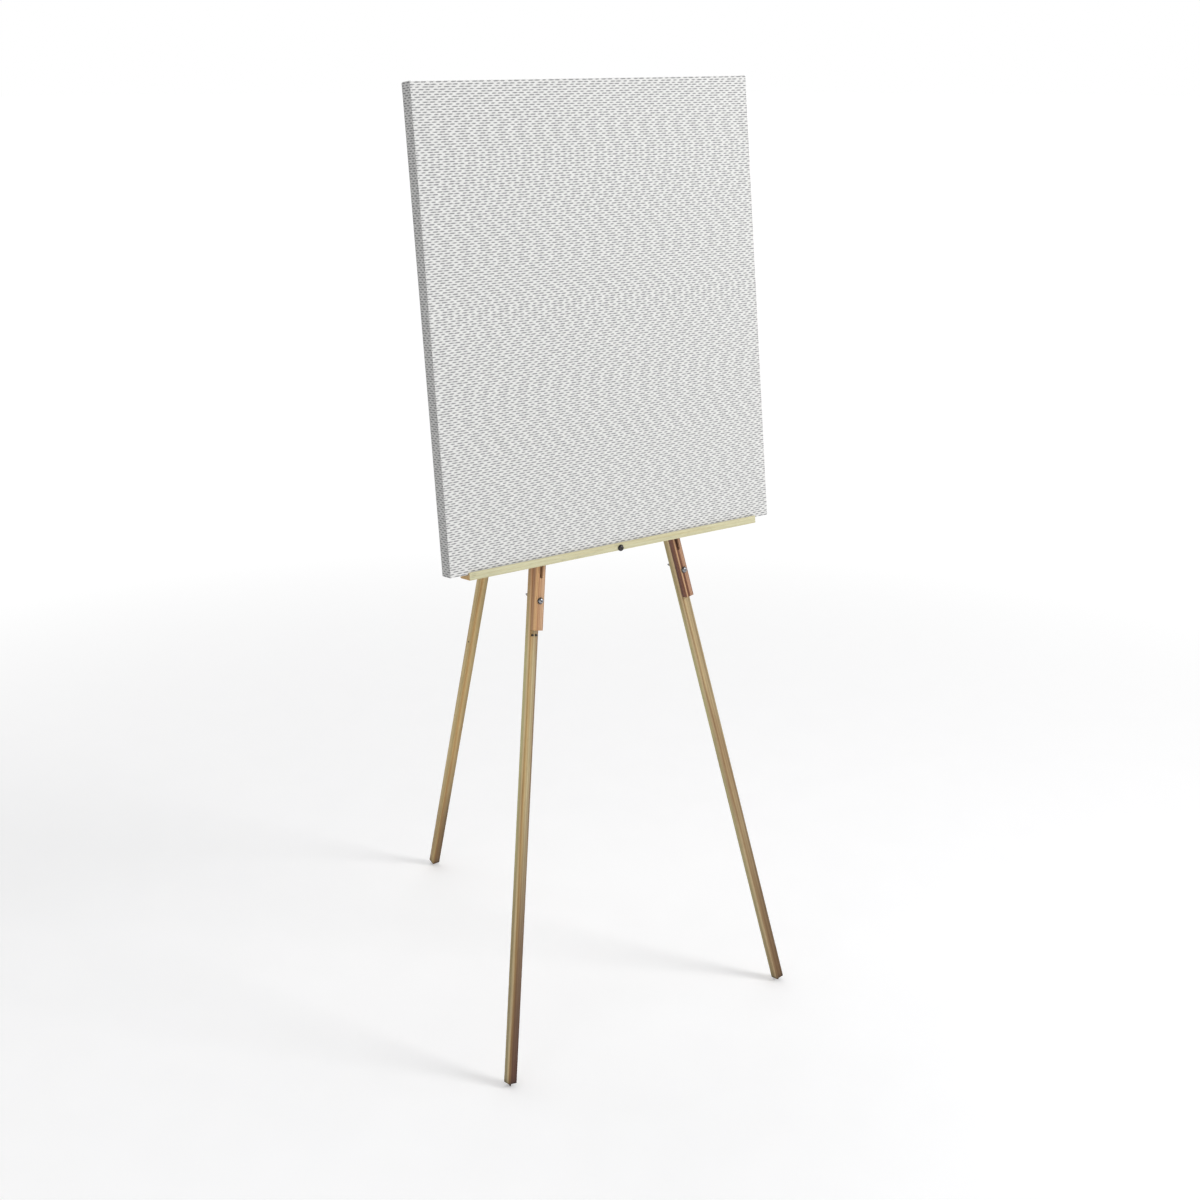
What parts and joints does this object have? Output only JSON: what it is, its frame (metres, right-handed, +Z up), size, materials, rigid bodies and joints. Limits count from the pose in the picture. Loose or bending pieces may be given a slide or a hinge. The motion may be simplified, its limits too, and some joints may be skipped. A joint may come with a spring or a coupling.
{
  "type": "tripod display easel",
  "caption": "Wooden tripod easel with telescopic bolted legs, a lipped canvas ledge on a slotted mast, and a deep-edge stretched canvas resting on it.",
  "frame": {"origin": "on the floor, under the middle of the whole easel", "axes": "+Z up, +X to the right of someone who faces the canvas, +Y from the canvas towards the rear leg"},
  "size_m": [0.768, 0.923, 1.9168],
  "materials": {
    "upper_leg_wood": "oiled red-brown softwood with pale streaks",
    "lower_leg_wood": "planed tan pine, lightly varnished",
    "frame_wood": "planed pine, lightly varnished",
    "ledge_wood": "pale cream-yellow planed moulding",
    "stretcher_wood": "raw planed pine",
    "key_wood": "raw beech",
    "canvas_cloth": "coarse ribbed primed canvas, matte",
    "bright_steel": "bright zinc-plated steel",
    "dark_steel": "blackened steel"
  },
  "bodies": {
    "head": {"mast": "frame_wood", "head_block": "frame_wood", "yoke_plate": "frame_wood", "yoke_cheek_left": "frame_wood", "yoke_cheek_right": "frame_wood", "head_screw_lower": "dark_steel", "head_screw_upper": "dark_steel", "front_left_pivot_bolt": "bright_steel", "front_left_pivot_washer": "bright_steel", "front_right_pivot_bolt": "bright_steel", "front_right_pivot_washer": "bright_steel", "rear_pivot_bolt": "bright_steel", "rear_pivot_washer": "bright_steel"},
    "front_left_leg": {"front_left_upper_leg": "upper_leg_wood", "front_left_lock_bolt": "bright_steel", "front_left_lock_washer": "bright_steel"},
    "front_left_lower": {"front_left_lower_leg": "lower_leg_wood", "front_left_guide_pin": "bright_steel", "front_left_foot_spike": "dark_steel", "front_left_stop_pin_left": "dark_steel", "front_left_stop_pin_right": "dark_steel"},
    "front_left_nut": {"front_left_lock_nut": "bright_steel"},
    "front_right_leg": {"front_right_upper_leg": "upper_leg_wood", "front_right_lock_bolt": "bright_steel", "front_right_lock_washer": "bright_steel"},
    "front_right_lower": {"front_right_lower_leg": "lower_leg_wood", "front_right_guide_pin": "bright_steel", "front_right_foot_spike": "dark_steel"},
    "front_right_nut": {"front_right_lock_nut": "bright_steel"},
    "rear_leg": {"rear_upper_leg": "upper_leg_wood", "rear_lock_bolt": "bright_steel", "rear_lock_washer": "bright_steel"},
    "rear_lower": {"rear_lower_leg": "lower_leg_wood", "rear_guide_pin": "bright_steel", "rear_foot_spike": "dark_steel"},
    "rear_nut": {"rear_lock_nut": "bright_steel"},
    "front_left_pivot_nut": {"front_left_pivot_nut": "bright_steel"},
    "front_right_pivot_nut": {"front_right_pivot_nut": "bright_steel"},
    "rear_pivot_nut": {"rear_pivot_nut": "bright_steel"},
    "ledge": {"ledge": "ledge_wood", "ledge_bolt": "bright_steel", "ledge_washer": "bright_steel"},
    "ledge_nut": {"ledge_nut": "bright_steel"},
    "canvas": {"canvas_cover": "canvas_cloth", "stretcher_bottom": "stretcher_wood", "stretcher_top": "stretcher_wood", "stretcher_left": "stretcher_wood", "stretcher_right": "stretcher_wood", "stretcher_brace": "stretcher_wood", "key_bottom_left_flat": "key_wood", "key_bottom_left_tall": "key_wood", "key_bottom_right_flat": "key_wood", "key_bottom_right_tall": "key_wood", "key_top_left_flat": "key_wood", "key_top_left_tall": "key_wood", "key_top_right_flat": "key_wood", "key_top_right_tall": "key_wood"}
  },
  "joints": [
    {"name": "front_left_splay", "type": "hinge", "parent": "head", "child": "front_left_leg", "pos_m": [-0.03085, -0.17089, 1.72796], "axis": [0, -0.9852, 0.1712], "range_deg": [0, 10]},
    {"name": "front_right_splay", "type": "hinge", "parent": "head", "child": "front_right_leg", "pos_m": [0.03085, -0.17089, 1.72796], "axis": [0, 0.9852, -0.1712], "range_deg": [0, 10]},
    {"name": "rear_fold", "type": "hinge", "parent": "head", "child": "rear_leg", "pos_m": [0, -0.12791, 1.75363], "axis": [-1, 0, 0], "range_deg": [0, 26]},
    {"name": "front_left_extend", "type": "slide", "parent": "front_left_leg", "child": "front_left_lower", "axis": [-0.1772, -0.1685, -0.9696], "range_m": [0, 0.24]},
    {"name": "front_right_extend", "type": "slide", "parent": "front_right_leg", "child": "front_right_lower", "axis": [0.1772, -0.1685, -0.9696], "range_m": [0, 0.24]},
    {"name": "rear_extend", "type": "slide", "parent": "rear_leg", "child": "rear_lower", "axis": [0, 0.3067, -0.9518], "range_m": [0, 0.24]},
    {"name": "ledge_height", "type": "slide", "parent": "head", "child": "ledge", "axis": [0, 0.1141, 0.9935], "range_m": [0, 0.25]},
    {"name": "canvas_lift", "type": "slide", "parent": "ledge", "child": "canvas", "axis": [0, -0.147, 0.9891], "range_m": [0, 0.35]},
    {"name": "front_left_lock_turn", "type": "hinge", "parent": "front_left_leg", "child": "front_left_nut", "pos_m": [-0.17593, -0.283, 0.92932], "axis": [0, 0.9852, -0.1712], "continuous": true},
    {"name": "front_right_lock_turn", "type": "hinge", "parent": "front_right_leg", "child": "front_right_nut", "pos_m": [0.17593, -0.283, 0.92932], "axis": [0, 0.9852, -0.1712], "continuous": true},
    {"name": "rear_lock_turn", "type": "hinge", "parent": "rear_leg", "child": "rear_nut", "pos_m": [0, 0.16947, 0.91649], "axis": [0, 0.9518, 0.3067], "continuous": true},
    {"name": "front_left_pivot_turn", "type": "hinge", "parent": "head", "child": "front_left_pivot_nut", "pos_m": [-0.03085, -0.15088, 1.72449], "axis": [0, 0.9852, -0.1712], "continuous": true},
    {"name": "front_right_pivot_turn", "type": "hinge", "parent": "head", "child": "front_right_pivot_nut", "pos_m": [0.03085, -0.15088, 1.72449], "axis": [0, 0.9852, -0.1712], "continuous": true},
    {"name": "rear_pivot_turn", "type": "hinge", "parent": "head", "child": "rear_pivot_nut", "pos_m": [0.0175, -0.12791, 1.75363], "axis": [1, 0, 0], "continuous": true},
    {"name": "ledge_lock_turn", "type": "hinge", "parent": "ledge", "child": "ledge_nut", "pos_m": [0, -0.28653, 1.01184], "axis": [0, 0.9935, -0.1141], "continuous": true}
  ]
}
